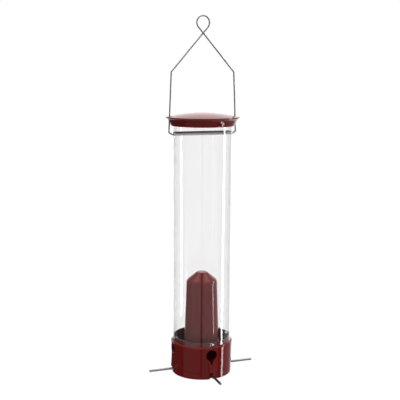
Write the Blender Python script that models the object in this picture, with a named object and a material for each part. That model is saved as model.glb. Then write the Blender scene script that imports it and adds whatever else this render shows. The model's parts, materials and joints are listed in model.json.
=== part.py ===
"""Hanging tube bird feeder with four dipping perches.

Metres, +Z up. The origin is the centre of the underside of the base. The four feeding ports and
their perches lie on -Y (front), +X (right), +Y (back) and -X (left), and the bail lies in the XZ
plane. Every piece is its own object, and each perch has its origin on its pivot.
"""

import math

import bmesh
import bpy
from mathutils import Matrix, Vector

MM = 0.001
GAP = 0.3 * MM  # clearance between pieces that touch
ROUND = 48  # sides of the large round pieces

# Base: a moulded housing over a dished cover that closes the perch chamber
BASE_BOTTOM_R = 58.2 * MM
BASE_TOP_R = 59.9 * MM
SHOULDER_Z = 63.0 * MM
SEAM_Z = 13.0 * MM
COLLAR_TOP_Z = 72.5 * MM
FLOOR_Z = 33.5 * MM
FLOOR_THICK = 2.0 * MM
HOUSING_BORE_R = 54.6 * MM
CHAMBER_R = 55.5 * MM
COVER_THICK = 2.5 * MM
COVER_WALL = 3.0 * MM
SPIGOT_TOP_Z = 16.5 * MM

# Seed tube: 4.5 inch clear tube
TUBE_R = 57.15 * MM
TUBE_BORE_R = 55.55 * MM
TUBE_TOP_Z = 496.5 * MM
COLLAR_R = TUBE_BORE_R - 0.45 * MM
COLLAR_BORE_R = COLLAR_R - 2.4 * MM

# Feeding ports and the fasteners above them
PORT_ANGLES = {"front": -90.0, "right": 0.0, "back": 90.0, "left": 180.0}
PORT_R = 11.0 * MM
PORT_Z = 47.8 * MM
NOTCH_TIP_Z = 29.0 * MM
NOTCH_HALF_TOP = 4.6 * MM
TUBE_SCREW_Z = 68.8 * MM
SCREW_R = 1.5 * MM
SCREW_HEAD_R = 3.75 * MM
SCREW_HEAD_H = 1.5 * MM
NUT_R = 3.0 * MM
NUT_THICK = 2.4 * MM
TUBE_SCREW_LENGTH = 10.5 * MM
COVER_SCREW_LENGTH = 12.0 * MM
BAFFLE_SCREW_LENGTH = 8.0 * MM

# Perches: bent rods on a cross pin under the seed floor, each under a small hood
PERCH_WIRE_R = 2.4 * MM
PIVOT = Vector((48.0 * MM, 0, 25.0 * MM))
PERCH_ELBOW = Vector((53.5 * MM, 0, 9.0 * MM))
PERCH_TIP = Vector((106.5 * MM, 0, 9.0 * MM))
PERCH_BEND_R = 4.0 * MM
PERCH_EYE_R = 4.4 * MM
PERCH_SLOT_HALF = 2.8 * MM
PERCH_SLOT_INNER_R = 51.5 * MM
HOOD_PROUD = (3.0 * MM, 0.5 * MM)  # how far it stands out at its foot and at its top
HOOD_HALF = (5.2 * MM, 5.6 * MM)
PIN_R = 1.1 * MM
PIN_HEAD_R = 1.9 * MM
LUG_THICK = 2.2 * MM
LUG_HALF = 3.4 * MM
LUG_FACES = (-5.1 * MM, 5.8 * MM)  # the lower face of each lug, across the perch
SPRING_WIRE_R = 0.4 * MM
SPRING_COIL_R = 2.7 * MM
SPRING_HOOK = Vector((-0.55 * MM, -0.8 * MM, -8.1 * MM))  # from the pivot
SPRING_TAIL = Vector((-9.0 * MM, 0, 5.7 * MM))

# Baffle column
BAFFLE_FOOT_R = 34.9 * MM
BAFFLE_SHOULDER = (29.4 * MM, 183.0 * MM)  # radius, height
BAFFLE_TOP = (9.9 * MM, 199.0 * MM)
BAFFLE_WALL = 2.0 * MM
BAFFLE_WEB = 3.0 * MM

# Drain holes: how many, their radius, and the circle that they lie on
FLOOR_DRAINS = (8, 1.3 * MM, 46.0 * MM)
COVER_DRAINS = (8, 2.0 * MM, 24.0 * MM)
BAFFLE_DRAINS = (3, 2.0 * MM, 16.0 * MM)

# Screws that come up through the cover
COVER_SCREW_R = 40.0 * MM
COVER_BOSS_R = 4.2 * MM
COVER_BOSS_Z = 5.3 * MM
COVER_SEAT_R = 6.0 * MM
COVER_SEAT_Z = 5.0 * MM
HEAD_RECESS = 2.4 * MM
COVER_SCREW_ANGLES = (45.0, 135.0, 225.0, 315.0)

# Lid
LID_FLANGE_R = 70.3 * MM
LID_FLANGE_Z = 500.0 * MM
LID_APEX_Z = 507.6 * MM
LID_BORE_R = 58.4 * MM
LID_WALL = 2.4 * MM
LID_SKIRT_Z = 483.0 * MM
GUIDE_INNER_R = 60.0 * MM
GUIDE_OUTER_R = 68.3 * MM
GUIDE_HALF = 1.8 * MM

# Bail wire and the spreader that its ends turn in
BAIL_WIRE_R = 1.4 * MM
SPREADER_Z = 468.5 * MM
SPREADER_R = 4.2 * MM
SPREADER_BORE_R = 3.2 * MM
SPREADER_HALF = 57.6 * MM
BAIL_END_Z = SPREADER_Z - 1.5 * MM
BAIL_END_X = (43.0 * MM, 60.4 * MM)  # the end itself, and where it starts to rise
BAIL_FOOT = (66.9 * MM, 471.0 * MM)  # where each leg turns in
BAIL_SHOULDER = (62.2 * MM, 583.0 * MM)
BAIL_CROSSING_Z = 654.0 * MM
BAIL_LOOP_R = 12.85 * MM
BAIL_CROSS_Y = 1.75 * MM
BAIL_BEND_R = 2.2 * MM


# ---------------------------------------------------------------- helpers

def clear_scene():
    for old in list(bpy.data.objects):
        bpy.data.objects.remove(old, do_unlink=True)


def plastic(name, colour, roughness, alpha=1.0, metallic=0.0):
    """A Principled material of one colour."""
    material = bpy.data.materials.new(name)
    material.use_nodes = True
    shader = material.node_tree.nodes["Principled BSDF"]
    shader.inputs["Base Color"].default_value = (*colour, 1.0)
    shader.inputs["Roughness"].default_value = roughness
    shader.inputs["Metallic"].default_value = metallic
    shader.inputs["Alpha"].default_value = alpha
    material.diffuse_color = (*colour, alpha)
    return material


def steel(name):
    return plastic(name, (0.55, 0.55, 0.54), 0.28, metallic=1.0)


def maroon(name):
    return plastic(name, (0.105, 0.012, 0.016), 0.2)


def add_mesh(name, bm, material=None):
    """Turns a bmesh into an object, smooth but for its sharp edges."""
    bmesh.ops.remove_doubles(bm, verts=bm.verts, dist=1e-6)
    bmesh.ops.recalc_face_normals(bm, faces=bm.faces)
    mesh = bpy.data.meshes.new(name)
    bm.to_mesh(mesh)
    bm.free()
    mesh.shade_smooth()
    mesh.set_sharp_from_angle(angle=math.radians(35))
    if material:
        mesh.materials.append(material)
    thing = bpy.data.objects.new(name, mesh)
    bpy.context.scene.collection.objects.link(thing)
    return thing


def add_tool(name, bm):
    """A helper solid that another object cuts with or joins. It is not a piece."""
    tool = add_mesh(name, bm)
    tool.hide_render = True
    tool.display_type = "WIRE"
    return tool


def combine(target, tool, operation):
    modifier = target.modifiers.new(f"{operation.lower()}_{tool.name}", "BOOLEAN")
    modifier.operation = operation
    modifier.solver = "EXACT"
    modifier.object = tool


def turned(name, outline, material=None, sides=ROUND, axis_matrix=None):
    """Spins a closed outline of (radius, height) points about Z."""
    bm = bmesh.new()
    corners = [bm.verts.new((radius, 0, height)) for radius, height in outline]
    edges = [bm.edges.new((a, b)) for a, b in zip(corners, corners[1:] + corners[:1])]
    bmesh.ops.spin(
        bm, geom=corners + edges, cent=(0, 0, 0), axis=(0, 0, 1),
        angle=math.tau, steps=sides, use_merge=True,
    )
    bmesh.ops.remove_doubles(bm, verts=bm.verts, dist=1e-6)
    flat = [edge for edge in bm.edges if not edge.link_faces]
    bmesh.ops.delete(bm, geom=flat, context="EDGES")
    if axis_matrix:
        bm.transform(axis_matrix)
    return add_mesh(name, bm, material)


def add_box(bm, low, high, matrix=Matrix()):
    low, high = Vector(low), Vector(high)
    shape = Matrix.Translation((low + high) / 2) @ Matrix.Diagonal((*(high - low), 1))
    bmesh.ops.create_cube(bm, size=1, matrix=matrix @ shape)


def add_rod(bm, radius, start, end, matrix=Matrix(), sides=16):
    """A cylinder between two points."""
    start, end = Vector(start), Vector(end)
    along = end - start
    turn = along.to_track_quat("Z", "Y").to_matrix().to_4x4()
    bmesh.ops.create_cone(
        bm, cap_ends=True, segments=sides, radius1=radius, radius2=radius, depth=along.length,
        matrix=matrix @ Matrix.Translation((start + end) / 2) @ turn,
    )


def add_drains(bm, drains, low, high, first=0.0):
    """A ring of holes along Z. The first one is at the given bearing."""
    count, radius, circle = drains
    for index in range(count):
        turn = facing(first + 360 * index / count)
        add_rod(bm, radius, (circle, 0, low), (circle, 0, high), turn, 8)


def facing(degrees):
    """The turn that takes +X to this bearing."""
    return Matrix.Rotation(math.radians(degrees), 4, "Z")


def bent_path(corners, bend_radius, steps=4):
    """Straight runs between corners, with each inner corner rounded to the bend radius."""
    path = [Vector(corners[0])]
    for before, corner, after in zip(corners, corners[1:], corners[2:]):
        corner = Vector(corner)
        back = (Vector(before) - corner).normalized()
        ahead = (Vector(after) - corner).normalized()
        half = back.angle(ahead) / 2
        centre = corner + (back + ahead).normalized() * bend_radius / math.sin(half)
        first = corner + back * bend_radius / math.tan(half)
        last = corner + ahead * bend_radius / math.tan(half)
        arm_a, arm_b = (first - centre).normalized(), (last - centre).normalized()
        for step in range(steps + 1):
            path.append(centre + arm_a.slerp(arm_b, step / steps) * bend_radius)
    path.append(Vector(corners[-1]))
    return path


def wire(name, path, radius, sides_setting, material=None):
    """A curve with a round section along the path, and filled ends."""
    curve = bpy.data.curves.new(name, "CURVE")
    curve.dimensions = "3D"
    curve.bevel_depth = radius
    curve.bevel_resolution = sides_setting
    curve.use_fill_caps = True
    spline = curve.splines.new("POLY")
    spline.points.add(len(path) - 1)
    for point, place in zip(spline.points, path):
        point.co = (*place, 1)
    if material:
        curve.materials.append(material)
    thing = bpy.data.objects.new(name, curve)
    bpy.context.scene.collection.objects.link(thing)
    return thing


def wire_mesh(path, radius, sides_setting):
    """The same wire as a closed bmesh."""
    guide = wire("wire_guide", path, radius, sides_setting)
    mesh = guide.to_mesh()
    bm = bmesh.new()
    bm.from_mesh(mesh)
    bmesh.ops.remove_doubles(bm, verts=bm.verts, dist=1e-6)
    bpy.data.objects.remove(guide, do_unlink=True)
    return bm


# ---------------------------------------------------------------- base

def base_radius(height):
    """The drafted outside of the base at a height."""
    return BASE_BOTTOM_R + (BASE_TOP_R - BASE_BOTTOM_R) * height / SHOULDER_Z


def make_base_housing():
    edge = 0.6 * MM
    bottom = SEAM_Z + GAP / 2
    ceiling = FLOOR_Z - FLOOR_THICK
    outline = [
        (0, ceiling),
        (0, FLOOR_Z),
        (HOUSING_BORE_R, FLOOR_Z),
        (HOUSING_BORE_R, SHOULDER_Z - 5 * MM),
        (COLLAR_BORE_R, SHOULDER_Z - 1.5 * MM),
        (COLLAR_BORE_R, COLLAR_TOP_Z),
        (COLLAR_R - edge, COLLAR_TOP_Z),
        (COLLAR_R, COLLAR_TOP_Z - edge),
        (COLLAR_R, SHOULDER_Z - GAP),
        (base_radius(SHOULDER_Z) - edge, SHOULDER_Z - GAP),
        (base_radius(SHOULDER_Z), SHOULDER_Z - GAP - edge),
        (base_radius(bottom), bottom),
        (CHAMBER_R, bottom),
        (CHAMBER_R, ceiling),
    ]
    housing = turned("base_housing", outline, maroon("moulded_maroon_base"))

    supports = bmesh.new()
    for angle in PORT_ANGLES.values():
        for face in LUG_FACES:
            add_box(
                supports,
                (PIVOT.x - LUG_HALF, face, PIVOT.z - LUG_HALF),
                (PIVOT.x + LUG_HALF, face + LUG_THICK, ceiling + 1 * MM),
                facing(angle),
            )
    for angle in COVER_SCREW_ANGLES:
        add_rod(
            supports, COVER_BOSS_R, (COVER_SCREW_R, 0, COVER_BOSS_Z),
            (COVER_SCREW_R, 0, ceiling + 1 * MM), facing(angle), 12,
        )
    combine(housing, add_tool("housing_supports", supports), "UNION")

    hoods = bmesh.new()
    for angle in PORT_ANGLES.values():
        add_hood(hoods, facing(angle))
    combine(housing, add_tool("perch_hoods", hoods), "UNION")

    ports = bmesh.new()
    for angle in PORT_ANGLES.values():
        add_rod(
            ports, PORT_R, (COLLAR_BORE_R - 4 * MM, 0, PORT_Z),
            (BASE_TOP_R + 4 * MM, 0, PORT_Z), facing(angle), 24,
        )
    combine(housing, add_tool("port_cutter", ports), "DIFFERENCE")

    notches = bmesh.new()
    for angle in PORT_ANGLES.values():
        add_notch(notches, facing(angle))
    combine(housing, add_tool("notch_cutter", notches), "DIFFERENCE")

    holes = bmesh.new()
    for angle in PORT_ANGLES.values():
        turn = facing(angle)
        add_rod(
            holes, SCREW_R + GAP, (COLLAR_BORE_R - 3 * MM, 0, TUBE_SCREW_Z),
            (COLLAR_R + 3 * MM, 0, TUBE_SCREW_Z), turn, 12,
        )
        add_rod(
            holes, PIN_R + GAP, (PIVOT.x, LUG_FACES[0] - 1 * MM, PIVOT.z),
            (PIVOT.x, LUG_FACES[1] + LUG_THICK + 1 * MM, PIVOT.z), turn, 12,
        )
    for angle in COVER_SCREW_ANGLES:
        add_rod(
            holes, SCREW_R + GAP, (COVER_SCREW_R, 0, 4 * MM),
            (COVER_SCREW_R, 0, 20 * MM), facing(angle), 12,
        )
    add_drains(holes, FLOOR_DRAINS, ceiling - 1 * MM, FLOOR_Z + 1 * MM, first=22.5)
    add_rod(holes, SCREW_R + GAP, (0, 0, ceiling - 1 * MM), (0, 0, FLOOR_Z + 1 * MM), sides=12)
    combine(housing, add_tool("hole_cutter", holes), "DIFFERENCE")
    return housing


def add_hood(bm, turn):
    """A raised panel below a port that leans out towards its foot, just above the perch."""
    heights = (SEAM_Z + GAP / 2, PORT_Z - PORT_R + 2 * MM)
    inner = CHAMBER_R + 1.5 * MM
    corners = []
    for height, half, proud in zip(heights, HOOD_HALF, HOOD_PROUD):
        outer = base_radius(height) + proud
        for side in (-1, 1):
            corners.append(turn @ Vector((inner, side * half, height)))
            corners.append(turn @ Vector((outer, side * half, height)))
    bmesh.ops.convex_hull(bm, input=[bm.verts.new(corner) for corner in corners])


def add_notch(bm, turn):
    """A V through the wall, from the bottom of a port down into its hood."""
    corners = []
    for radius in (HOUSING_BORE_R - 1.1 * MM, BASE_TOP_R + 5 * MM):
        for side in (-1, 1):
            corners.append(turn @ Vector((radius, side * 0.4 * MM, NOTCH_TIP_Z)))
            corners.append(turn @ Vector((radius, side * NOTCH_HALF_TOP, PORT_Z - 9.5 * MM)))
    bmesh.ops.convex_hull(bm, input=[bm.verts.new(corner) for corner in corners])


def make_base_cover():
    top = SEAM_Z - GAP / 2
    spigot_r = CHAMBER_R - GAP
    bore = spigot_r - COVER_WALL
    edge = 0.8 * MM
    outline = [
        (0, 0),
        (BASE_BOTTOM_R - edge, 0),
        (BASE_BOTTOM_R, edge),
        (base_radius(top), top),
        (spigot_r, top),
        (spigot_r, SPIGOT_TOP_Z),
        (bore, SPIGOT_TOP_Z),
        (bore, COVER_THICK),
        (0, COVER_THICK),
    ]
    cover = turned("base_cover", outline, maroon("moulded_maroon_cover"))

    seats = bmesh.new()
    for angle in COVER_SCREW_ANGLES:
        add_rod(
            seats, COVER_SEAT_R, (COVER_SCREW_R, 0, 1 * MM),
            (COVER_SCREW_R, 0, COVER_SEAT_Z), facing(angle), 16,
        )
    combine(cover, add_tool("screw_seats", seats), "UNION")

    cutter = bmesh.new()
    for angle in PORT_ANGLES.values():
        add_box(
            cutter, (PERCH_SLOT_INNER_R, -PERCH_SLOT_HALF, -2 * MM),
            (BASE_TOP_R + 4 * MM, PERCH_SLOT_HALF, SPIGOT_TOP_Z + 3 * MM), facing(angle),
        )
    for angle in COVER_SCREW_ANGLES:
        turn = facing(angle)
        add_rod(
            cutter, SCREW_R + GAP, (COVER_SCREW_R, 0, 1 * MM), (COVER_SCREW_R, 0, 7 * MM),
            turn, 12,
        )
    add_drains(cutter, COVER_DRAINS, -1 * MM, COVER_THICK + 1 * MM)
    combine(cover, add_tool("cover_cutter", cutter), "DIFFERENCE")

    recesses = bmesh.new()
    for angle in COVER_SCREW_ANGLES:
        add_rod(
            recesses, SCREW_HEAD_R + GAP, (COVER_SCREW_R, 0, -1 * MM),
            (COVER_SCREW_R, 0, HEAD_RECESS), facing(angle), 16,
        )
    combine(cover, add_tool("head_recesses", recesses), "DIFFERENCE")
    return cover


def make_baffle():
    """A hollow tapered column whose foot is a web with a hole for its screw."""
    foot = FLOOR_Z + GAP
    shoulder_r, shoulder_z = BAFFLE_SHOULDER
    top_r, top_z = BAFFLE_TOP
    wall = BAFFLE_WALL
    bore = SCREW_R + GAP
    outline = [
        (bore, foot),
        (BAFFLE_FOOT_R - 0.5 * MM, foot),
        (BAFFLE_FOOT_R, foot + 0.5 * MM),
        (shoulder_r + 0.5 * MM, shoulder_z - 2.5 * MM),
        (shoulder_r - 1.4 * MM, shoulder_z + 1.0 * MM),
        (top_r + 1.2 * MM, top_z - 1.0 * MM),
        (top_r - 0.8 * MM, top_z),
        (0, top_z),
        (0, top_z - wall),
        (top_r - 2 * MM, top_z - wall),
        (shoulder_r - 1.4 * MM - wall, shoulder_z - wall),
        (BAFFLE_FOOT_R - wall, foot + BAFFLE_WEB),
        (bore, foot + BAFFLE_WEB),
    ]
    baffle = turned("baffle_column", outline, maroon("moulded_maroon_column"))
    drains = bmesh.new()
    add_drains(drains, BAFFLE_DRAINS, foot - 1 * MM, foot + BAFFLE_WEB + 1 * MM)
    combine(baffle, add_tool("baffle_drains", drains), "DIFFERENCE")
    return baffle


# ---------------------------------------------------------------- tube, lid and bail

def make_seed_tube():
    bottom = SHOULDER_Z
    outline = [
        (TUBE_BORE_R, bottom),
        (TUBE_R, bottom),
        (TUBE_R, TUBE_TOP_Z),
        (TUBE_BORE_R, TUBE_TOP_Z),
    ]
    clear = plastic("clear_plastic", (0.92, 0.93, 0.93), 0.05, alpha=0.25)
    tube = turned("seed_tube", outline, clear)
    holes = bmesh.new()
    for angle in PORT_ANGLES.values():
        add_rod(
            holes, SCREW_R + GAP, (TUBE_BORE_R - 3 * MM, 0, TUBE_SCREW_Z),
            (TUBE_R + 3 * MM, 0, TUBE_SCREW_Z), facing(angle), 12,
        )
    for angle in (0, 180):
        add_rod(
            holes, SPREADER_R + GAP, (TUBE_BORE_R - 3 * MM, 0, SPREADER_Z),
            (TUBE_R + 3 * MM, 0, SPREADER_Z), facing(angle), 20,
        )
    combine(tube, add_tool("tube_holes", holes), "DIFFERENCE")
    return tube


def make_lid():
    """A shallow domed cap with a flared rim and a skirt around the tube's top."""
    under = LID_FLANGE_Z - 2.2 * MM
    dome_r = 66.5 * MM
    rise = LID_APEX_Z - LID_FLANGE_Z
    crown = [(dome_r * k / 5, LID_FLANGE_Z + rise * (1 - (k / 5) ** 2)) for k in range(6)]
    hollow = [(radius, height - LID_WALL) for radius, height in crown[:5]]
    outline = [
        *hollow,
        (LID_BORE_R, under),
        (LID_BORE_R, LID_SKIRT_Z),
        (60.4 * MM, LID_SKIRT_Z),
        (61.0 * MM, LID_SKIRT_Z + 0.6 * MM),
        (64.2 * MM, 491.0 * MM),
        (66.2 * MM, 494.5 * MM),
        (69.4 * MM, under - 0.6 * MM),
        (LID_FLANGE_R, under + 0.2 * MM),
        (LID_FLANGE_R, LID_FLANGE_Z - 0.6 * MM),
        (LID_FLANGE_R - 0.6 * MM, LID_FLANGE_Z),
        *reversed(crown),
    ]
    lid = turned("lid", outline, maroon("moulded_maroon_lid"))
    guides = bmesh.new()
    for angle in (0, 180):
        add_box(
            guides, (GUIDE_INNER_R, -GUIDE_HALF, LID_SKIRT_Z - 2 * MM),
            (GUIDE_OUTER_R, GUIDE_HALF, LID_APEX_Z + 2 * MM), facing(angle),
        )
    combine(lid, add_tool("leg_guides", guides), "DIFFERENCE")
    return lid


def make_spreader():
    outline = [
        (SPREADER_BORE_R, -SPREADER_HALF),
        (SPREADER_R, -SPREADER_HALF),
        (SPREADER_R, SPREADER_HALF),
        (SPREADER_BORE_R, SPREADER_HALF),
    ]
    lay_down = Matrix.Translation((0, 0, SPREADER_Z)) @ Matrix.Rotation(math.pi / 2, 4, "Y")
    return turned("spreader_tube", outline, steel("steel_spreader"), 20, lay_down)


def bail_path():
    """The bail from its left end, up and over the loop, to its right end."""
    leg = [
        (BAIL_END_X[0], 0, BAIL_END_Z),
        (BAIL_END_X[1], 0, BAIL_END_Z),
        (BAIL_FOOT[0], 0, BAIL_FOOT[1]),
        (BAIL_SHOULDER[0], 0, BAIL_SHOULDER[1]),
        (0, 0, BAIL_CROSSING_Z),
    ]
    leg = bent_path(leg, BAIL_BEND_R, 3)[:-1]
    lean = math.atan2(BAIL_SHOULDER[0], BAIL_CROSSING_Z - BAIL_SHOULDER[1])
    centre_z = BAIL_CROSSING_Z + BAIL_LOOP_R / math.sin(lean)
    right = [point.copy() for point in leg]
    left = [Vector((-point.x, 0, point.z)) for point in leg]
    right.append(Vector((0, -BAIL_CROSS_Y, BAIL_CROSSING_Z)))
    left.append(Vector((0, BAIL_CROSS_Y, BAIL_CROSSING_Z)))
    steps = 20
    start, sweep = math.pi + lean, -(math.pi + 2 * lean)
    loop = []
    for step in range(steps + 1):
        bearing = start + sweep * step / steps
        across = BAIL_CROSS_Y * (2 * step / steps - 1)
        loop.append(Vector((
            BAIL_LOOP_R * math.cos(bearing), across, centre_z + BAIL_LOOP_R * math.sin(bearing),
        )))
    return right + loop + list(reversed(left))


def make_bail():
    return wire("hanger_wire", bail_path(), BAIL_WIRE_R, 2, steel("steel_bail"))


# ---------------------------------------------------------------- perches

def perch_mesh():
    """A bent rod, down from its pivot and then out. Its origin is the pivot."""
    elbow = PERCH_ELBOW - PIVOT
    corners = [elbow.normalized() * 2 * MM, elbow, PERCH_TIP - PIVOT]
    return wire_mesh(bent_path(corners, PERCH_BEND_R, 4), PERCH_WIRE_R, 3)


def make_perches():
    eye = bmesh.new()
    add_rod(eye, PERCH_EYE_R, (0, -PERCH_WIRE_R, 0), (0, PERCH_WIRE_R, 0), sides=16)
    eye_tool = add_tool("perch_eye", eye)
    bore = bmesh.new()
    add_rod(bore, PIN_R + GAP, (0, -4 * MM, 0), (0, 4 * MM, 0), sides=12)
    bore_tool = add_tool("perch_eye_bore", bore)
    for side, angle in PORT_ANGLES.items():
        perch = add_mesh(f"perch_{side}", perch_mesh(), steel(f"steel_perch_{side}"))
        perch.matrix_world = facing(angle) @ Matrix.Translation(PIVOT)
        for tool, operation in ((eye_tool, "UNION"), (bore_tool, "DIFFERENCE")):
            local = bpy.data.objects.new(f"{tool.name}_{side}", tool.data)
            local.hide_render = True
            local.display_type = "WIRE"
            local.matrix_world = perch.matrix_world
            bpy.context.scene.collection.objects.link(local)
            combine(perch, local, operation)
    for tool in (eye_tool, bore_tool):
        bpy.data.objects.remove(tool, do_unlink=True)


def make_perch_pins():
    head = 0.8 * MM
    start = LUG_FACES[0] - GAP
    end = LUG_FACES[1] + LUG_THICK + 0.5 * MM
    outline = [
        (0, start - head), (PIN_HEAD_R, start - head), (PIN_HEAD_R, start),
        (PIN_R, start), (PIN_R, end - 0.3 * MM), (PIN_R - 0.3 * MM, end), (0, end),
    ]
    lay_across = Matrix.Rotation(-math.pi / 2, 4, "X")
    for side, angle in PORT_ANGLES.items():
        pin = turned(f"perch_pin_{side}", outline, steel(f"steel_pin_{side}"), 12, lay_across)
        pin.matrix_world = facing(angle) @ Matrix.Translation(PIVOT)


def spring_path():
    """A torsion spring: a hook behind the rod, a coil about the pin and a tail under the floor."""
    steps = 15
    start_y = PERCH_WIRE_R + GAP + SPRING_WIRE_R
    first, sweep = math.radians(195), math.radians(645)  # from the hook's tangent to the bottom
    pitch = 2 * SPRING_WIRE_R + 0.15 * MM
    path = [SPRING_HOOK, Vector((SPRING_HOOK.x, start_y, SPRING_HOOK.z))]
    for step in range(steps + 1):
        angle = first - sweep * step / steps
        path.append(Vector((
            SPRING_COIL_R * math.cos(angle),
            start_y + pitch * sweep / math.tau * step / steps,
            SPRING_COIL_R * math.sin(angle),
        )))
    tail_y = path[-1].y
    path.append(Vector((-3.6 * MM, tail_y, -SPRING_COIL_R)))
    path.append(Vector((SPRING_TAIL.x, tail_y, SPRING_TAIL.z)))
    return path


def make_perch_springs():
    for side, angle in PORT_ANGLES.items():
        spring = wire(
            f"perch_spring_{side}", spring_path(), SPRING_WIRE_R, 1, steel(f"steel_spring_{side}"),
        )
        spring.matrix_world = facing(angle) @ Matrix.Translation(PIVOT)


# ---------------------------------------------------------------- fasteners

def screw_outline(length):
    """Half of a domed screw: its head from 0 up, its shank down to -length."""
    return [
        (0, -length),
        (SCREW_R - 0.4 * MM, -length),
        (SCREW_R, -length + 0.5 * MM),
        (SCREW_R, 0),
        (SCREW_HEAD_R, 0),
        (SCREW_HEAD_R, SCREW_HEAD_H * 0.45),
        (SCREW_HEAD_R - 1.2 * MM, SCREW_HEAD_H),
        (0, SCREW_HEAD_H),
    ]


def add_screw(name, length, place):
    """A screw whose head sits on the given plane, with a square drive recess."""
    screw = turned(name, screw_outline(length), steel(f"steel_{name}"), 12)
    drive = bmesh.new()
    add_box(drive, (-1.25 * MM, -1.25 * MM, 0.4 * MM), (1.25 * MM, 1.25 * MM, 3 * MM))
    tool = add_tool(f"{name}_drive", drive)
    combine(screw, tool, "DIFFERENCE")
    screw.matrix_world = place
    tool.matrix_world = place


def make_fasteners():
    outward = Matrix.Rotation(math.pi / 2, 4, "Y")
    nut_seat = COLLAR_BORE_R - GAP
    for side, angle in PORT_ANGLES.items():
        head_place = (
            facing(angle) @ Matrix.Translation((TUBE_R + GAP, 0, TUBE_SCREW_Z)) @ outward
        )
        add_screw(f"tube_screw_{side}", TUBE_SCREW_LENGTH, head_place)
        nut = bmesh.new()
        add_rod(
            nut, NUT_R, (nut_seat - NUT_THICK, 0, TUBE_SCREW_Z), (nut_seat, 0, TUBE_SCREW_Z),
            sides=6,
        )
        piece = add_mesh(f"tube_nut_{side}", nut, steel(f"steel_nut_{side}"))
        bore = bmesh.new()
        add_rod(
            bore, SCREW_R + GAP, (nut_seat - 5 * MM, 0, TUBE_SCREW_Z),
            (nut_seat + 2 * MM, 0, TUBE_SCREW_Z), sides=12,
        )
        tool = add_tool(f"nut_bore_{side}", bore)
        combine(piece, tool, "DIFFERENCE")
        piece.matrix_world = facing(angle)
        tool.matrix_world = facing(angle)

    downward = Matrix.Rotation(math.pi, 4, "X")
    for index, angle in enumerate(COVER_SCREW_ANGLES, start=1):
        seat = Matrix.Translation((COVER_SCREW_R, 0, HEAD_RECESS - GAP))
        add_screw(f"cover_screw_{index}", COVER_SCREW_LENGTH, facing(angle) @ seat @ downward)
    place = Matrix.Translation((0, 0, FLOOR_Z - FLOOR_THICK - GAP)) @ downward
    add_screw("baffle_screw", BAFFLE_SCREW_LENGTH, place)


def main():
    clear_scene()
    make_base_housing()
    make_base_cover()
    make_baffle()
    make_seed_tube()
    make_lid()
    make_spreader()
    make_bail()
    make_perches()
    make_perch_pins()
    make_perch_springs()
    make_fasteners()


main()
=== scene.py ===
# %% [markdown]
# # A hanging tube feeder, made piece by piece
# The feeder is a clear tube between a maroon lid and a maroon base, hung from one bent wire. Four steel
# perches dip on pins inside the base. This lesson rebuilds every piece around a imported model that
# already holds the true sizes, so each cell starts from a size and ends with a piece in its place.

# %% The frame
import json
import math

import bpy
from mathutils import Matrix, Vector


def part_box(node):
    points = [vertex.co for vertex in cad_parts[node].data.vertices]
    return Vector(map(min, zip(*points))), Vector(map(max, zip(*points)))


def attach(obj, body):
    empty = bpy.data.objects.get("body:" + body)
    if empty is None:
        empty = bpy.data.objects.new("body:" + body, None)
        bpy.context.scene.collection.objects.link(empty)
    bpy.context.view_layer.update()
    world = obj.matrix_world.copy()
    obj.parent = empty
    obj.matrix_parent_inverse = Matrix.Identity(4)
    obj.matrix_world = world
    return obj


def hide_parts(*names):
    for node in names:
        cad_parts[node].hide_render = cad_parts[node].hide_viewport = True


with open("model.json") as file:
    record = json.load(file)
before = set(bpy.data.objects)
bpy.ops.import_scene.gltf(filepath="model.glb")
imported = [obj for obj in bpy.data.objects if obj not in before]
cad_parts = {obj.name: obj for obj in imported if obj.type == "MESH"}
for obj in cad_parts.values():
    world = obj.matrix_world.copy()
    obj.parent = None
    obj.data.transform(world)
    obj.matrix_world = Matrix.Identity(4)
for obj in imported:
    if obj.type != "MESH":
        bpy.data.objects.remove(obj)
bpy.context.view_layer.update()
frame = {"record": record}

MM = 0.001
SIDES = {"front": -90.0, "right": 0.0, "back": 90.0, "left": 180.0}

# %% [markdown]
# ## The camera
# The feeder is seen from a little to its left and a little above its lid, through a fairly long lens.
# A long lens keeps the tube's sides nearly parallel. The camera is set from where it stands, where it
# points and how far it leans, because those are the three things that a tripod sets.

# %% Camera
CAMERA_BEARING = math.radians(-19.668)  # round the feeder, from the front
CAMERA_REACH = 1.5786
CAMERA_HEIGHT = 0.5964
CAMERA_HEADING = CAMERA_BEARING + math.radians(0.1555)
CAMERA_TILT = math.radians(9.224)
CAMERA_LEAN = math.radians(0.306)

bpy.ops.object.camera_add(location=(
    CAMERA_REACH * math.sin(CAMERA_BEARING),
    -CAMERA_REACH * math.cos(CAMERA_BEARING),
    CAMERA_HEIGHT,
))
camera = bpy.context.object
camera.name = "camera"
camera.rotation_euler = (
    Matrix.Rotation(CAMERA_HEADING, 3, "Z")
    @ Matrix.Rotation(math.pi / 2 - CAMERA_TILT, 3, "X")
    @ Matrix.Rotation(CAMERA_LEAN, 3, "Z")
).to_euler()
camera.data.sensor_width = 36.0
camera.data.lens = 74.96
bpy.context.scene.camera = camera
print("camera at", [round(x, 3) for x in camera.location])

# %% [markdown]
# ## Shader maths as plain Python
# A material is a graph of small nodes. Written out one by one they are hard to read, so one class
# wraps an output socket and gives it +, -, * and **, so that an expression such as `1 - mask` builds
# its own Math node.

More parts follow.
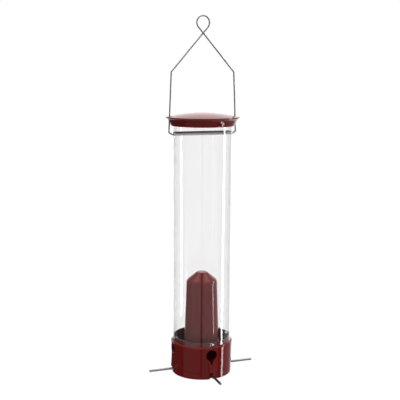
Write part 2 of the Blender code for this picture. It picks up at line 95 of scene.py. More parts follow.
# %% Signals
class Signal:
    """One output socket, with the arithmetic that adds Math nodes."""

    def __init__(self, desk, socket):
        self.desk, self.socket = desk, socket

    def maths(self, operation, *values, clamp=False):
        settings = {"operation": operation, "use_clamp": clamp}
        return self.desk.node("ShaderNodeMath", settings, dict(enumerate(values)))

    def __add__(self, other):
        return self.maths("ADD", self, other)

    def __sub__(self, other):
        return self.maths("SUBTRACT", self, other)

    def __rsub__(self, other):
        return self.maths("SUBTRACT", other, self)

    def __mul__(self, other):
        return self.maths("MULTIPLY", self, other)

    def __pow__(self, other):
        return self.maths("POWER", self, other)

    __radd__, __rmul__ = __add__, __mul__

    def size(self):
        return self.maths("ABSOLUTE", self)

    def between(self, low, high):
        """0 below low, 1 above high and smooth between them. With high under low it falls."""
        flip = high < low
        settings = {"interpolation_type": "SMOOTHSTEP"}
        ends = {1: min(low, high), 2: max(low, high), 3: float(flip), 4: float(not flip)}
        return self.desk.node("ShaderNodeMapRange", settings, {0: self, **ends})


print("signals ready")

# %% [markdown]
# The second class stands for a whole node tree. Its one method, node, adds any node, with its settings
# first and its sockets after, and the shorter methods name the few nodes that every finish needs.

# %% Desks
class Desk:
    """The node tree of one finish or of the studio, and the one method that adds a node to it."""

    def __init__(self, tree):
        self.tree = tree
        tree.nodes.clear()

    def node(self, kind, settings=None, sockets=None, output=0):
        node = self.tree.nodes.new(kind)
        for name, value in (settings or {}).items():
            setattr(node, name, value)
        for name, value in (sockets or {}).items():
            if isinstance(value, Signal):
                self.tree.links.new(value.socket, node.inputs[name])
            else:
                node.inputs[name].default_value = value
        return Signal(self, node.outputs[output]) if node.outputs else None

    def blend(self, share, first, second):
        """A colour between two colours."""
        return self.node("ShaderNodeMix", {"data_type": "RGBA"}, {0: share, 6: first, 7: second}, 2)

    def axes(self, vector):
        """The three parts of a vector, each as a signal."""
        first = self.node("ShaderNodeSeparateXYZ", {}, {0: vector})
        return [Signal(self, socket) for socket in first.socket.node.outputs]

    def noise(self, place, scale, detail, rough=0.5):
        sockets = {"Vector": place, "Scale": scale, "Detail": detail, "Roughness": rough}
        return self.node("ShaderNodeTexNoise", {}, sockets)

    def place(self, stretch=(1.0, 1.0, 1.0)):
        """Where a point is on its piece, in metres, stretched along each axis."""
        spot = self.node("ShaderNodeTexCoord", output="Object")
        return self.node("ShaderNodeMapping", {}, {"Vector": spot, "Scale": stretch})

    def bump(self, height, strength, depth):
        """Small relief, depth metres deep, for a shader's Normal."""
        sockets = {"Strength": strength, "Distance": depth, "Height": height}
        return self.node("ShaderNodeBump", {}, sockets)


def new_finish(name):
    """An empty material and the desk of its node tree."""
    material = bpy.data.materials.new(name)
    material.use_nodes = True
    return material, Desk(material.node_tree)


def finished(material, desk, surface):
    """Puts the last shader on the material."""
    desk.node("ShaderNodeOutputMaterial", {}, {"Surface": surface})
    print("finish", material.name)
    return material


def colour(red, green, blue):
    return (red, green, blue, 1.0)


print("desks ready")

# %% [markdown]
# ## The studio
# The feeder hangs high over a pale floor, in front of a white backdrop and under a bright ceiling. The
# room is dim in front and nearly black at the left, where a dark panel and a narrow white card keep the
# edge of each glossy piece crisp. The right side is half bright, and a tall narrow soft light stands
# there and leans. Gloss shows what stands round it, so the studio is painted by its bearing from the
# side where the camera stands. Painting it on the world keeps the light even over a piece as tall as
# this one. The camera itself sees plain white.

# %% Studio light
STRIP_LIGHT = 14.0
BACK_WHITE = 1.3
RIGHT_SIDE = 0.45
LEFT_PANEL = 0.07
LEFT_CARD = 0.9
FRONT_ROOM = 0.36
CEILING = 2.2
STRIP_LEAN, LEAN_FROM = 0.4, 20.0  # degrees for each degree above 20 below level

world = bpy.data.worlds.new("studio")
bpy.context.scene.world = world
world.use_nodes = True
studio = Desk(world.node_tree)
sight = studio.node("ShaderNodeTexCoord", output="Generated")
ahead = studio.node("ShaderNodeMapping", {}, {"Vector": sight, "Rotation": (0, 0, -CAMERA_BEARING)})
rightward, backward, upward = studio.axes(ahead)
bearing = rightward.maths("ARCTAN2", rightward, 0 - backward) * (180 / math.pi)
height = upward.maths("ARCSINE", upward) * (180 / math.pi)


def patch(low, high, soft, around=bearing):
    """1 between two bearings, with soft edges."""
    return around.between(low - soft, low + soft) * around.between(high + soft, high - soft)


front = FRONT_ROOM * (1 - bearing.size().between(3.8, 2.4))
raised = height + LEAN_FROM
leaning = bearing - STRIP_LEAN * raised.maths("MAXIMUM", raised, 0.0)
back = bearing.between(143.0, 149.0) + bearing.between(-147.0, -153.0)
left_card = patch(-81.5, -76.5, 0.5) * height.between(-14.0, -10.0)
strip = patch(84.0, 91.5, 0.7, leaning) * height.between(-66.0, -62.0)
strip = strip * height.between(30.0, 25.0)
wall = front * patch(-74.0, 66.0, 3.0) + BACK_WHITE * back + RIGHT_SIDE * patch(96.0, 146.0, 3.0)
wall = wall + LEFT_PANEL * patch(-150.0, -82.0, 3.0) + LEFT_CARD * left_card + STRIP_LIGHT * strip
room = wall + (CEILING - wall) * height.between(48.0, 62.0)
seen = studio.node("ShaderNodeLightPath", output="Is Camera Ray")
level = room + (1.0 - room) * seen
background = studio.node("ShaderNodeBackground", {}, {"Color": colour(1, 1, 1), "Strength": level})
studio.node("ShaderNodeOutputWorld", {}, {"Surface": background})
bpy.context.scene.view_settings.view_transform = "Standard"
print("studio painted")

# %% [markdown]
# ## The floor
# A plain pale floor lies well below the feeder, as under a thing that hangs. It takes no part in the
# reflections, so that only the painted studio shows in the gloss.

# %% Floor
FLOOR_DROP = -0.9
bpy.ops.mesh.primitive_plane_add(size=60.0, location=(0, 0, FLOOR_DROP))
floor = bpy.context.object
floor.name = "floor"
pale, desk = new_finish("pale_floor")
grain = desk.noise(desk.place(), 3.0, 4.0)
shade = desk.blend(grain, colour(0.93, 0.93, 0.93), colour(0.96, 0.96, 0.96))
paint = desk.node("ShaderNodeBsdfDiffuse", {}, {"Color": shade})
floor.data.materials.append(finished(pale, desk, paint))
floor.visible_glossy = floor.visible_diffuse = False
print("floor at", FLOOR_DROP)

# %% [markdown]
# ## Finishes
# Maroon plastic: a glossy moulded colour. It is never quite even. The colour drifts a little as the
# melt flowed, the skin has a faint ripple, and handling leaves fine rubbed patches that are rougher.
# The inside of the base and the foot of the column are painted dark, as painted shade.

# %% Maroon plastic
MAROON = (0.240, 0.0120, 0.0110)
# The first colour is painted shade, near black; the second is pale dust.
PAINTED_SHADE_DARK, DUST_PALE = colour(0.016, 0.0025, 0.002), colour(0.45, 0.38, 0.36)


def maroon_plastic(name, painted_shade=None):
    """Glossy maroon. painted_shade gives a share of 1 where the moulding is painted dark as shade."""
    material, desk = new_finish(name)
    place = desk.place()
    flow = desk.noise(desk.place((1, 1, 0.35)), 26.0, 3.0)
    rub = desk.noise(place, 210.0, 5.0, 0.65)
    speck = desk.noise(place, 1500.0, 2.0)
    deep = colour(MAROON[0] * 0.9, MAROON[1] * 0.85, MAROON[2] * 0.85)
    light = colour(MAROON[0] * 1.12, MAROON[1] * 1.2, MAROON[2] * 1.2)
    tone = desk.blend(flow, deep, light)
    dusty = rub.between(0.62, 0.78) * 0.5
    tone = desk.blend(dusty * 0.06, tone, DUST_PALE)
    # Painted shade: the masked parts are painted nearly black.
    if painted_shade:
        tone = desk.blend(painted_shade(desk) * 0.8, tone, PAINTED_SHADE_DARK)
    ripple = desk.noise(place, 160.0, 1.0)
    skin = desk.bump(ripple + speck * 0.12, 0.05, 0.0004)
    shader = desk.node("ShaderNodeBsdfPrincipled", {}, {
        "Base Color": tone,
        "Roughness": 0.085 + dusty * 0.12 + flow * 0.03,
        "IOR": 1.5,
        "Specular IOR Level": 0.3,
        "Normal": skin,
    })
    return finished(material, desk, shader)


def shade_inside_the_cup(desk):
    """Painted shade inside the base: all that is nearer the axis than the cup's bore."""
    x, y, _ = desk.axes(desk.place())
    return ((x * x + y * y) ** 0.5).between(55.05 * MM, 54.7 * MM)


def shade_at_column_foot(desk):
    """Painted shade on the column: the part that stands below the collar."""
    return desk.axes(desk.place())[2].between(76 * MM, 60 * MM)


maroon_lid = maroon_plastic("glossy_maroon_lid")
maroon_base = maroon_plastic("glossy_maroon_base", painted_shade=shade_inside_the_cup)
maroon_cover = maroon_plastic("glossy_maroon_cover")
maroon_column = maroon_plastic("glossy_maroon_column", painted_shade=shade_at_column_foot)

# %% [markdown]
# Clear plastic: an extruded tube lets light straight through and mirrors a little at each of its four
# skins, more at a slant. Mixing a Transparent with a Glossy shader by the slant does that without
# bending light, so what is inside stays clear and clean. Extrusion leaves long faint lines, and seed
# and fingers leave a trace of haze. The sawn ends are frosted.

# %% Clear plastic
TUBE_LOW, TUBE_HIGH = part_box("seed_tube")


def clear_plastic(name):
    """A clear skin with a mirror on its slant, faint die lines, haze and frosted ends."""
    material, desk = new_finish(name)
    along = desk.axes(desk.node("ShaderNodeTexCoord", output="Object"))[2]
    die_lines = desk.noise(desk.place((1, 1, 0.01)), 330.0, 3.0, 0.6)
    smear = desk.noise(desk.place((1, 1, 0.4)), 38.0, 4.0, 0.6)
    slant = desk.node("ShaderNodeLayerWeight", {}, {"Blend": 0.5}, "Facing")
    mirror = 0.04 + 0.96 * slant ** 5.0
    frost = along.between(TUBE_LOW.z + 0.9 * MM, TUBE_LOW.z + 0.3 * MM)
    frost = frost + along.between(TUBE_HIGH.z - 0.9 * MM, TUBE_HIGH.z - 0.3 * MM)
    haze = 0.010 + 0.010 * smear + 0.012 * die_lines.between(0.5, 0.75) + 0.06 * frost
    clear = desk.node("ShaderNodeBsdfTransparent", {}, {"Color": colour(0.998, 0.998, 0.998)})
    gloss = desk.node("ShaderNodeBsdfGlossy", {}, {
        "Color": colour(1, 1, 1), "Roughness": 0.02 + 0.03 * smear,
    })
    dust = desk.node("ShaderNodeBsdfDiffuse", {}, {"Color": colour(0.86, 0.87, 0.87)})
    skin = desk.node("ShaderNodeMixShader", {}, {0: mirror, 1: clear, 2: gloss})
    whole = desk.node("ShaderNodeMixShader", {}, {0: haze, 1: skin, 2: dust})
    return finished(material, desk, whole)


clear_tube_finish = clear_plastic("clear_extruded_plastic")

# %% [markdown]
# Steel: drawn wire is bright but not a mirror. It has fine marks all over and the weather leaves small
# duller patches, so roughness drifts and a light bump breaks up the highlights. One recipe, with a tone
# and a roughness of its own each time, serves the wire, the rods, the springs and the plated pieces.

# %% Steels
def steel(name, tone, rough, patches=0.10):
    """Weathered steel. tone is its brightness and patches how much duller the weather leaves it."""
    material, desk = new_finish(name)
    place = desk.place()
    weather = desk.noise(place, 25.0, 3.0, 0.5)
    marks = desk.noise(place, 1800.0, 3.0, 0.7)
    dull = weather.between(0.5, 0.72)
    bright = colour(tone, tone, tone * 0.985)
    aged = colour(tone * 0.78, tone * 0.77, tone * 0.74)
    shader = desk.node("ShaderNodeBsdfPrincipled", {}, {
        "Base Color": desk.blend(dull * 0.4, bright, aged),
        "Metallic": 1.0,
        "Roughness": rough + patches * dull + 0.03 * marks,
        "Normal": desk.bump(marks, 0.06, 0.00004),
    })
    return finished(material, desk, shader)


wire_steel = steel("drawn_steel_wire", 0.42, 0.45, 0.03)
perch_steel = steel("perch_steel_rod", 0.40, 0.26, 0.06)
spring_steel = steel("dark_spring_steel", 0.32, 0.30)
bright_steel = steel("bright_plated_steel", 0.78, 0.16, 0.08)
spreader_steel = steel("spreader_steel", 0.80, 0.30)

# %% [markdown]
# The four ring-shaped fasteners above the ports have a socket painted dark, as painted shade. The
# socket lies on a level axis through the tube's wall, so a point's distance from that axis tells where
# the ring ends.
# Two fasteners lie along X and two along Y, so the nearer of the two axes is the one that counts.

# %% Ring fastener finish
FASTENER_Z, SOCKET_R, SOCKET_BLUR = 68.8 * MM, 2.1 * MM, 0.15 * MM


def ringed_steel(name):
    """Steel outside SOCKET_R, and painted shade inside it."""
    material, desk = new_finish(name)
    x, y, z = desk.axes(desk.node("ShaderNodeTexCoord", output="Object"))
    up = z - FASTENER_Z
    beside = x.maths("MINIMUM", x.size(), y.size())
    off_axis = (beside * beside + up * up) ** 0.5
    # The socket is painted near black and dull, as painted shade in its hollow.
    socket_shade = off_axis.between(SOCKET_R + SOCKET_BLUR, SOCKET_R - SOCKET_BLUR)
    marks = desk.noise(desk.place(), 900.0, 3.0, 0.6)
    shader = desk.node("ShaderNodeBsdfPrincipled", {}, {
        "Base Color": desk.blend(socket_shade, colour(0.80, 0.74, 0.73), colour(0.035, 0.012, 0.010)),
        "Metallic": 1 - socket_shade,
        "Roughness": 0.20 + 0.08 * marks + 0.5 * socket_shade,
        "Normal": desk.bump(marks, 0.05, 0.00004),
    })
    return finished(material, desk, shader)


ring_steel = ringed_steel("ring_fastener_steel")

# %% [markdown]
# ## Ways of working
# A few hand movements come back again and again: pick one piece, spin a half section into a round
# piece, cut or join one piece with another, bend a wire, and hand a finished piece to its body.

# %% Picking and finishing
def pick(*things):
    """Selects only these, with the first one active."""
    bpy.ops.object.select_all(action="DESELECT")
    for thing in things:
        thing.select_set(True)
    bpy.context.view_layer.objects.active = things[0]
    return things[0]


def settle(piece):
    """Puts a piece's place into its mesh, so that its object is at the origin, unturned."""
    pick(piece)
    bpy.ops.object.transform_apply(location=True, rotation=True, scale=True)
    return piece


def smooth(piece, angle=32.0):
    """Smooth but for sharp edges, and with flat faces kept flat beside round ones."""
    pick(piece)
    bpy.ops.object.shade_smooth_by_angle(angle=math.radians(angle))
    bpy.ops.object.modifier_add(type="WEIGHTED_NORMAL")
    piece.modifiers[-1].keep_sharp = True
    bpy.ops.object.modifier_apply(modifier=piece.modifiers[-1].name)
    return piece


def hand_over(piece, finish, body, slot, *nodes):
    """Gives a piece its finish and its body, and hides the plain nodes that it stands for."""
    piece.data.materials.clear()
    piece.data.materials.append(finish)
    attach(piece, body)
    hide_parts(*nodes)
    print(piece.name, "has", len(piece.data.polygons), "faces and rides on", body)
    return piece


print("picking and finishing ready")

# %% [markdown]
# Most of the pieces are round. On paper a round piece is half a section, and its corners are never
# quite sharp, so the section is drawn as corners with a radius each.

# %% Rounded sections
def rounded(corners, steps=4):
    """A closed section from (radius, height, corner radius) points, with its corners rounded."""
    path = []
    for index, (x, z, soft) in enumerate(corners):
        here = Vector((x, z))
        if not soft:
            path.append(here)
            continue
        back = Vector(corners[index - 1][:2]) - here
        ahead = Vector(corners[(index + 1) % len(corners)][:2]) - here
        half = back.angle(ahead) / 2
        reach = min(soft / math.tan(half), 0.49 * back.length, 0.49 * ahead.length)
        middle = here + (back.normalized() + ahead.normalized()).normalized() * (reach / math.cos(half))
        first = here + back.normalized() * reach - middle
        last = here + ahead.normalized() * reach - middle
        turn = first.angle_signed(last)
        for step in range(steps + 1):
            arm = first.copy()
            arm.rotate(Matrix.Rotation(-turn * step / steps, 2))
            path.append(middle + arm)
    return path


print("sections ready")

# %% [markdown]
# In edit mode one point is pushed from corner to corner with extrude, and spin carries the line once
# round the axis. It works in vertex select mode, because a lone point is lost in the other two.

# %% Turning
def spin_section(name, section, steps):
    """Draws a closed section point by point, then spins it round Z."""
    bpy.ops.object.select_all(action="DESELECT")
    bpy.ops.mesh.primitive_plane_add(size=1.0, location=(0, 0, 0))
    piece = bpy.context.object
    piece.name = piece.data.name = name
    bpy.ops.object.mode_set(mode="EDIT")
    bpy.ops.mesh.select_mode(type="VERT")
    bpy.ops.mesh.merge(type="CENTER")
    here = section[0]
    bpy.ops.transform.translate(value=(here[0], 0, here[1]))
    for there in [*section[1:], section[0]]:
        step = (there[0] - here[0], 0, there[1] - here[1])
        bpy.ops.mesh.extrude_region_move(TRANSFORM_OT_translate={"value": step})
        here = there
    bpy.ops.mesh.select_all(action="SELECT")
    bpy.ops.mesh.remove_doubles(threshold=1e-7)
    bpy.ops.mesh.select_all(action="SELECT")
    bpy.ops.mesh.spin(steps=steps, angle=math.tau, center=(0, 0, 0), axis=(0, 0, 1))
    bpy.ops.mesh.select_all(action="SELECT")
    bpy.ops.mesh.remove_doubles(threshold=1e-7)
    bpy.ops.mesh.delete_loose()
    bpy.ops.mesh.select_all(action="SELECT")
    bpy.ops.mesh.normals_make_consistent(inside=False)
    bpy.ops.object.mode_set(mode="OBJECT")
    return piece


def lay(piece, turn, location):
    """Turns a piece round X, Y and Z and moves it to its place."""
    piece.rotation_euler, piece.location = turn, location
    return settle(piece)


QUARTER_TURN = math.pi / 2
print("turning ready")

# %% [markdown]
# Holes and added parts are cut and joined with the Boolean modifier. A tool is a solid of its own that
# is used once and thrown away.

# %% Cutting and joining
def shape_with(piece, tool, operation):
    """Joins, cuts or crosses a piece with a tool, and throws the tool away."""
    pick(piece)
    bpy.ops.object.modifier_add(type="BOOLEAN")
    boolean = piece.modifiers[-1]
    boolean.operation, boolean.solver, boolean.object = operation, "EXACT", tool
    bpy.ops.object.modifier_apply(modifier=boolean.name)
    bpy.data.objects.remove(tool, do_unlink=True)
    return piece


def bar(radius, start, end, sides):
    """A round tool between two points."""
    start, end = Vector(start), Vector(end)
    along = end - start
    bpy.ops.object.select_all(action="DESELECT")
    bpy.ops.mesh.primitive_cylinder_add(
        vertices=sides, radius=radius, depth=along.length, location=(start + end) / 2,
        rotation=along.to_track_quat("Z", "Y").to_euler(),
    )
    return settle(bpy.context.object)


def block(low, high):
    """A square tool between two corners."""
    low, high = Vector(low), Vector(high)
    bpy.ops.object.select_all(action="DESELECT")
    bpy.ops.mesh.primitive_cube_add(size=1.0, location=(low + high) / 2, scale=high - low)
    return settle(bpy.context.object)


print("cutting ready")

# %% [markdown]
# The feeder repeats the same things at its four sides and on its diagonals. A shape is made once, on
# the right, and each copy is turned round the feeder's axis and keeps a mesh of its own.

# %% Copies round the axis
def copy_turned(piece, name, degrees):
    """A copy with a mesh of its own, turned round Z."""
    pick(piece)
    bpy.ops.object.duplicate(linked=False)
    copy = bpy.context.object
    copy.name = copy.data.name = name
    copy.rotation_euler.z = math.radians(degrees)
    return settle(copy)


def ring_of(tool, bearings):
    """One tool repeated at each bearing and joined into one object."""
    tools = [copy_turned(tool, f"tool_{n}", degrees) for n, degrees in enumerate(bearings)]
    bpy.data.objects.remove(tool, do_unlink=True)
    pick(*tools)
    bpy.ops.object.join()
    return bpy.context.object


def drill(piece, radius, start, end, sides, bearings):
    """The same round hole at each bearing."""
    return shape_with(piece, ring_of(bar(radius, start, end, sides), bearings), "DIFFERENCE")


QUARTERS, OPPOSITE = list(SIDES.values()), (0.0, 180.0)
DIAGONALS = [45.0, 135.0, 225.0, 315.0]
SCREW_HOLE_R = 1.8 * MM
print("copies ready")

# %% [markdown]
# ## The lid
# The lid is one moulding: a shallow dome, a thin flared rim and a skirt that drops round the top of
# the tube. Its rim has two slots that the bail's legs run in. The section is drawn down the outside
# and back up the hollow inside, spun, and then the two slots are cut.

# %% Lid
FLANGE_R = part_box("lid")[1].x
FLANGE_Z, APEX_Z, SKIRT_Z = 500.0 * MM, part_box("lid")[1].z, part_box("lid")[0].z
DOME_R, LID_BORE_R, LID_WALL, DOME_POINTS = 66.5 * MM, 58.4 * MM, 2.4 * MM, 10
LEG_SLOT_HALF = 1.8 * MM


def dome(drop, reach):
    """The dome's curve from its edge to its top, lowered by the wall."""
    rise = APEX_Z - FLANGE_Z
    radii = [reach * (DOME_POINTS - k) / DOME_POINTS for k in range(DOME_POINTS + 1)]
    return [(r, FLANGE_Z + rise * (1 - (r / DOME_R) ** 2) - drop, 0) for r in radii]


under = FLANGE_Z - 2.2 * MM
lid_corners = [
    (LID_BORE_R, SKIRT_Z, 0.3 * MM),
    (60.4 * MM, SKIRT_Z, 0.5 * MM),
    (61.4 * MM, SKIRT_Z + 1.6 * MM, 1.0 * MM),
    (64.2 * MM, 491.0 * MM, 3.0 * MM),
    (66.2 * MM, 494.6 * MM, 3.0 * MM),
    (69.3 * MM, under - 0.5 * MM, 1.4 * MM),
    (FLANGE_R, under + 0.1 * MM, 0.5 * MM),
    (FLANGE_R, FLANGE_Z, 0.8 * MM),
    (DOME_R + 1.2 * MM, FLANGE_Z, 0.8 * MM),
    (DOME_R + 0.2 * MM, FLANGE_Z - 0.35 * MM, 0.4 * MM),
    *dome(0.0, DOME_R),
    *reversed(dome(LID_WALL, 53.2 * MM)),
    (LID_BORE_R, under, 1.0 * MM),
]
lid = spin_section("lid_cap", rounded(lid_corners), 160)
guide = block(
    (60.0 * MM, -LEG_SLOT_HALF, SKIRT_Z - 2 * MM),
    (68.3 * MM, LEG_SLOT_HALF, APEX_Z + 2 * MM),
)
shape_with(lid, ring_of(guide, OPPOSITE), "DIFFERENCE")
hand_over(smooth(lid), maroon_lid, "lid", "maroon_plastic", "lid")

# %% [markdown]
# ## The seed tube
# The tube is cut from extruded clear pipe. It is drilled for the four fasteners, and at its top for the
# spreader, which passes through both walls.

# %% Tube
TUBE_R, TUBE_BORE_R = TUBE_HIGH.x, 55.55 * MM
SPREADER_Z, SPREADER_R, SPREADER_HOLE_R = 468.5 * MM, 4.2 * MM, 4.5 * MM
tube = spin_section("clear_tube", rounded([
    (TUBE_BORE_R, TUBE_LOW.z, 0.2 * MM),
    (TUBE_R, TUBE_LOW.z, 0.35 * MM),
    (TUBE_R, TUBE_HIGH.z, 0.35 * MM),
    (TUBE_BORE_R, TUBE_HIGH.z, 0.2 * MM),
], 2), 160)
inner, outer = TUBE_BORE_R - 3 * MM, TUBE_R + 3 * MM
drill(tube, SCREW_HOLE_R, (inner, 0, FASTENER_Z), (outer, 0, FASTENER_Z), 24, QUARTERS)
drill(tube, SPREADER_HOLE_R, (inner, 0, SPREADER_Z), (outer, 0, SPREADER_Z), 48, OPPOSITE)
hand_over(smooth(tube), clear_tube_finish, "feeder", "clear_plastic", "seed_tube")

# %% [markdown]
# ## The base
# The base is a deep cup with a seed floor, a collar that the tube slides over, and four round ports.
# The cup that holds the seed ends at a floor, and below it is a chamber for the perches.
# Below each port a small hood leans out over the perch, and a V opens the wall from the port down into
# the hood. The cup is spun first, the hoods are joined on, and the openings are cut.

# %% Base shell
BASE_BOTTOM_R, BASE_TOP_R, SHOULDER_Z, SEAM_Z = 58.2 * MM, 59.9 * MM, 63.0 * MM, 13.0 * MM
COLLAR_R, COLLAR_BORE_R, COLLAR_TOP = 55.1 * MM, 52.7 * MM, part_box("base_housing")[1].z
SEED_FLOOR, FLOOR_UNDER, CHAMBER_R = 33.5 * MM, 31.5 * MM, 55.5 * MM
PORT_R, PORT_Z, CUP_R = 11.0 * MM, 47.8 * MM, 54.6 * MM
SEAM_GAP = 0.15 * MM


def wall_radius(z):
    """The base narrows a little towards its foot, so that it leaves its mould."""
    return BASE_BOTTOM_R + (BASE_TOP_R - BASE_BOTTOM_R) * z / SHOULDER_Z


low = SEAM_Z + SEAM_GAP
base = spin_section("base_shell", rounded([
    (0, FLOOR_UNDER, 0),
    (0, SEED_FLOOR, 0),
    (CUP_R, SEED_FLOOR, 2.0 * MM),
    (CUP_R, SHOULDER_Z - 5 * MM, 1.5 * MM),
    (COLLAR_BORE_R, SHOULDER_Z - 1.5 * MM, 1.5 * MM),
    (COLLAR_BORE_R, COLLAR_TOP, 0.6 * MM),
    (COLLAR_R, COLLAR_TOP, 0.7 * MM),
    (COLLAR_R, SHOULDER_Z - 0.3 * MM, 0.3 * MM),
    (wall_radius(SHOULDER_Z), SHOULDER_Z - 0.3 * MM, 0.9 * MM),
    (wall_radius(low), low, 0.3 * MM),
    (CHAMBER_R, low, 0),
    (CHAMBER_R, FLOOR_UNDER, 1.0 * MM),
]), 192)
print("cup spun,", len(base.data.polygons), "faces")

# %% [markdown]
# A hood is a block whose outer face leans out towards its foot. It starts as a cube, its top and bottom
# are slid to their own radius and width, and its edges are bevelled before it is joined on.

# %% Hoods
HOOD_FOOT_Z, HOOD_TOP_Z, HOOD_INNER_R, HOOD_BEVEL = low, 38.8 * MM, 57.0 * MM, 0.5 * MM
HOOD_HALF = {False: 5.2 * MM, True: 5.6 * MM}  # at its foot, at its top
HOOD_PROUD = {False: 3.0 * MM, True: 0.5 * MM}

hood = block((HOOD_INNER_R, -1, HOOD_FOOT_Z), (HOOD_INNER_R + 10 * MM, 1, HOOD_TOP_Z))
for vertex in hood.data.vertices:
    at_top = vertex.co.z > (HOOD_FOOT_Z + HOOD_TOP_Z) / 2
    vertex.co.y = math.copysign(HOOD_HALF[at_top], vertex.co.y)
    if vertex.co.x > HOOD_INNER_R + 1 * MM:
        vertex.co.x = wall_radius(vertex.co.z) + HOOD_PROUD[at_top]
pick(hood)
bpy.ops.object.modifier_add(type="BEVEL")
hood.modifiers[-1].width, hood.modifiers[-1].segments = HOOD_BEVEL, 3
bpy.ops.object.modifier_apply(modifier=hood.modifiers[-1].name)
shape_with(base, ring_of(hood, QUARTERS), "UNION")
print("hoods joined")

# %% [markdown]
# The ports are drilled right through the wall, and the V is cut down from each port into its hood. Its
# tool is a block whose foot is pinched to a thin edge. The collar is drilled for the four fasteners,
# and the seed floor for eight drains.

# %% Ports, notches and drains
NOTCH_FOOT_Z, NOTCH_TOP_Z = 29.0 * MM, 38.3 * MM
NOTCH_HALF = {False: 0.4 * MM, True: 4.6 * MM}  # at its foot, at its top
DRAIN_R, DRAIN_REACH = 1.3 * MM, 46 * MM
BELOW_FLOOR, ABOVE_FLOOR = FLOOR_UNDER - 1 * MM, SEED_FLOOR + 1 * MM

port_ends = (COLLAR_BORE_R - 4 * MM, 0, PORT_Z), (BASE_TOP_R + 4 * MM, 0, PORT_Z)
drill(base, PORT_R, *port_ends, 64, QUARTERS)
wedge = block((53.5 * MM, -1, NOTCH_FOOT_Z), (65 * MM, 1, NOTCH_TOP_Z))
for vertex in wedge.data.vertices:
    at_top = vertex.co.z > (NOTCH_FOOT_Z + NOTCH_TOP_Z) / 2
    vertex.co.y = math.copysign(NOTCH_HALF[at_top], vertex.co.y)
shape_with(base, ring_of(wedge, QUARTERS), "DIFFERENCE")
hole_ends = (COLLAR_BORE_R - 3 * MM, 0, FASTENER_Z), (COLLAR_R + 3 * MM, 0, FASTENER_Z)
drill(base, SCREW_HOLE_R, *hole_ends, 24, QUARTERS)
drain_ends = (DRAIN_REACH, 0, BELOW_FLOOR), (DRAIN_REACH, 0, ABOVE_FLOOR)
drill(base, DRAIN_R, *drain_ends, 16, [22.5 + 45 * n for n in range(8)])
print("ports cut,", len(base.data.polygons), "faces")

# %% [markdown]
# Under the seed floor each perch pin sits in two lugs. They reach up into the floor, so that they join
# it, and one bore runs through both.

# %% Lugs
PIVOT = Vector((48.0 * MM, 0, 25.0 * MM))
LUGS = ((-5.1 * MM, -2.9 * MM), (5.8 * MM, 8.0 * MM))
LUG_HALF, PIN_BORE_R, INTO_FLOOR = 3.4 * MM, 1.4 * MM, FLOOR_UNDER + 1 * MM
for near, far in LUGS:
    lug = block(
        (PIVOT.x - LUG_HALF, near, PIVOT.z - LUG_HALF),
        (PIVOT.x + LUG_HALF, far, INTO_FLOOR),
    )
    shape_with(base, ring_of(lug, QUARTERS), "UNION")
bore_start = (PIVOT.x, LUGS[0][0] - 1 * MM, PIVOT.z)
bore_end = (PIVOT.x, LUGS[1][1] + 1 * MM, PIVOT.z)
drill(base, PIN_BORE_R, bore_start, bore_end, 20, QUARTERS)
print("lugs joined and bored")

# %% [markdown]
# Four bosses on the diagonals take the screws of the cover, and a hole in the middle of the floor takes
# the column's screw.

# %% Bosses
BOSS_R, BOSS_REACH, BOSS_FOOT_Z = 4.2 * MM, 40 * MM, 5.3 * MM
boss = bar(BOSS_R, (BOSS_REACH, 0, BOSS_FOOT_Z), (BOSS_REACH, 0, INTO_FLOOR), 32)
shape_with(base, ring_of(boss, DIAGONALS), "UNION")
drill(base, SCREW_HOLE_R, (BOSS_REACH, 0, 4 * MM), (BOSS_REACH, 0, 20 * MM), 20, DIAGONALS)
centre_hole = bar(SCREW_HOLE_R, (0, 0, BELOW_FLOOR), (0, 0, ABOVE_FLOOR), 24)
shape_with(base, centre_hole, "DIFFERENCE")
hand_over(smooth(base), maroon_base, "feeder", "maroon_plastic", "base_housing")

# %% [markdown]
# ## The cover
# The cover closes the perch chamber from below. It is a shallow dish with a lip that fits inside the
# base, four seats for its screws, slots that let the perches dip, and drain holes.

# %% Cover
COVER_TOP, COVER_FLOOR = SEAM_Z - SEAM_GAP, 2.5 * MM
LIP_R, LIP_TOP = CHAMBER_R - 0.3 * MM, 16.5 * MM
LIP_INNER_R, PERCH_SLOT_HALF = LIP_R - 3.0 * MM, 2.8 * MM
cover = spin_section("base_dish", rounded([
    (0, 0, 0),
    (BASE_BOTTOM_R, 0, 1.0 * MM),
    (wall_radius(COVER_TOP), COVER_TOP, 0.3 * MM),
    (LIP_R, COVER_TOP, 0),
    (LIP_R, LIP_TOP, 0.4 * MM),
    (LIP_INNER_R, LIP_TOP, 0.4 * MM),
    (LIP_INNER_R, COVER_FLOOR, 1.5 * MM),
    (0, COVER_FLOOR, 0),
]), 192)
print("dish spun,", len(cover.data.polygons), "faces")

# %% [markdown]
# The seats stand under the bosses. Each one has a hole for the screw's shank and a wider one for its
# head, so that the head stays inside the cover. A perch slot is open at the rim, so that the rod can
# dip.

# %% Seats, perch slots and drains
SEAT_R, HEAD_HOLE_R, COVER_DRAIN_R, COVER_DRAIN_REACH = 6 * MM, 4.05 * MM, 2.0 * MM, 24 * MM
seat = bar(SEAT_R, (BOSS_REACH, 0, 1 * MM), (BOSS_REACH, 0, 5 * MM), 40)
shape_with(cover, ring_of(seat, DIAGONALS), "UNION")
way = block(
    (51.5 * MM, -PERCH_SLOT_HALF, -2 * MM),
    (64 * MM, PERCH_SLOT_HALF, 19.5 * MM),
)
shape_with(cover, ring_of(way, QUARTERS), "DIFFERENCE")
drill(cover, SCREW_HOLE_R, (BOSS_REACH, 0, 1 * MM), (BOSS_REACH, 0, 7 * MM), 24, DIAGONALS)
drill(cover, HEAD_HOLE_R, (BOSS_REACH, 0, -1 * MM), (BOSS_REACH, 0, 2.4 * MM), 40, DIAGONALS)
drain_ends = (COVER_DRAIN_REACH, 0, -1 * MM), (COVER_DRAIN_REACH, 0, 3.5 * MM)
